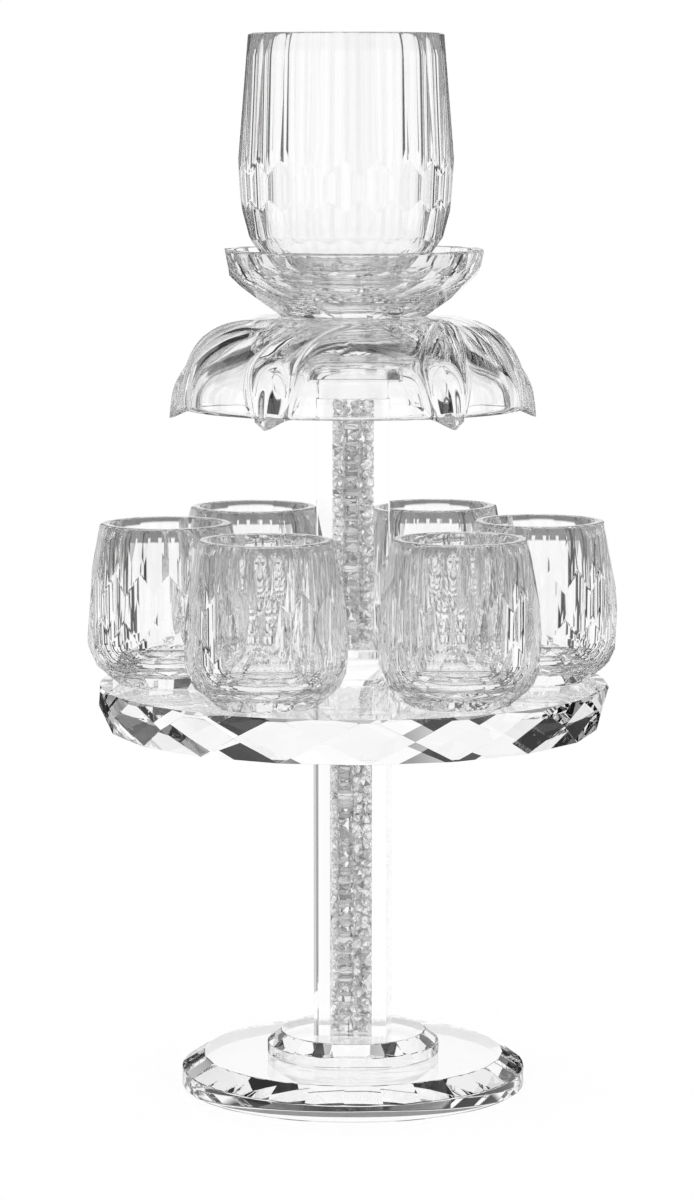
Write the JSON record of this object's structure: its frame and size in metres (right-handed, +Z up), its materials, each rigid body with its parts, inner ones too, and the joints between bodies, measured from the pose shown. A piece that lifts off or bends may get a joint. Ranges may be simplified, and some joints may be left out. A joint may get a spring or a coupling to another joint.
{
  "type": "wine fountain",
  "caption": "Clear crystal wine fountain: faceted goblet over a bowl and a swirled spout dome, small faceted cups on a diamond-cut tray, crystal-filled square columns, round base.",
  "frame": {"origin": "middle of the underside of the base disc", "axes": "+Z up along the columns; -Y is the front, between two cups"},
  "size_m": [0.1964, 0.1894, 0.3896],
  "materials": {
    "disc_glass": "polished clear crystal with flat-cut bevels",
    "column_glass": "polished clear crystal tube",
    "rod_glass": "fire-polished clear glass rod",
    "crushed_crystal": "crushed clear crystal stones",
    "tray_glass": "polished clear crystal with a diamond-cut edge",
    "block_glass": "polished clear crystal block",
    "dome_glass": "pressed clear glass, fire-polished",
    "bowl_glass": "faceted clear crystal",
    "cup_glass": "faceted clear crystal",
    "goblet_glass": "faceted clear crystal"
  },
  "bodies": {
    "stand": {"base_disc": "disc_glass", "plinth_disc": "disc_glass", "lower_column_tube": "column_glass", "lower_core_rod": "rod_glass", "lower_crystals": "crushed_crystal", "tray": "tray_glass", "foot_block": "block_glass", "upper_column_tube": "column_glass", "upper_column_plug": "block_glass", "upper_core_rod": "rod_glass", "upper_crystals": "crushed_crystal", "neck_block": "block_glass", "spout_dome": "dome_glass", "drain_bowl": "bowl_glass"},
    "goblet": {"goblet": "goblet_glass"},
    "cup_1": {"cup_1": "cup_glass"},
    "cup_2": {"cup_2": "cup_glass"},
    "cup_3": {"cup_3": "cup_glass"},
    "cup_4": {"cup_4": "cup_glass"},
    "cup_5": {"cup_5": "cup_glass"},
    "cup_6": {"cup_6": "cup_glass"}
  },
  "joints": [
    {"name": "goblet_lift", "type": "slide", "parent": "stand", "child": "goblet", "axis": [0, 0, 1], "range_m": [0, 0.11]},
    {"name": "cup_1_lift", "type": "slide", "parent": "stand", "child": "cup_1", "axis": [-0.3536, -0.6124, 0.7071], "range_m": [0, 0.1]},
    {"name": "cup_2_lift", "type": "slide", "parent": "stand", "child": "cup_2", "axis": [0.3536, -0.6124, 0.7071], "range_m": [0, 0.1]},
    {"name": "cup_3_lift", "type": "slide", "parent": "stand", "child": "cup_3", "axis": [0.7071, 0, 0.7071], "range_m": [0, 0.1]},
    {"name": "cup_4_lift", "type": "slide", "parent": "stand", "child": "cup_4", "axis": [0.3536, 0.6124, 0.7071], "range_m": [0, 0.1]},
    {"name": "cup_5_lift", "type": "slide", "parent": "stand", "child": "cup_5", "axis": [-0.3536, 0.6124, 0.7071], "range_m": [0, 0.1]},
    {"name": "cup_6_lift", "type": "slide", "parent": "stand", "child": "cup_6", "axis": [-0.7071, 0, 0.7071], "range_m": [0, 0.1]}
  ]
}
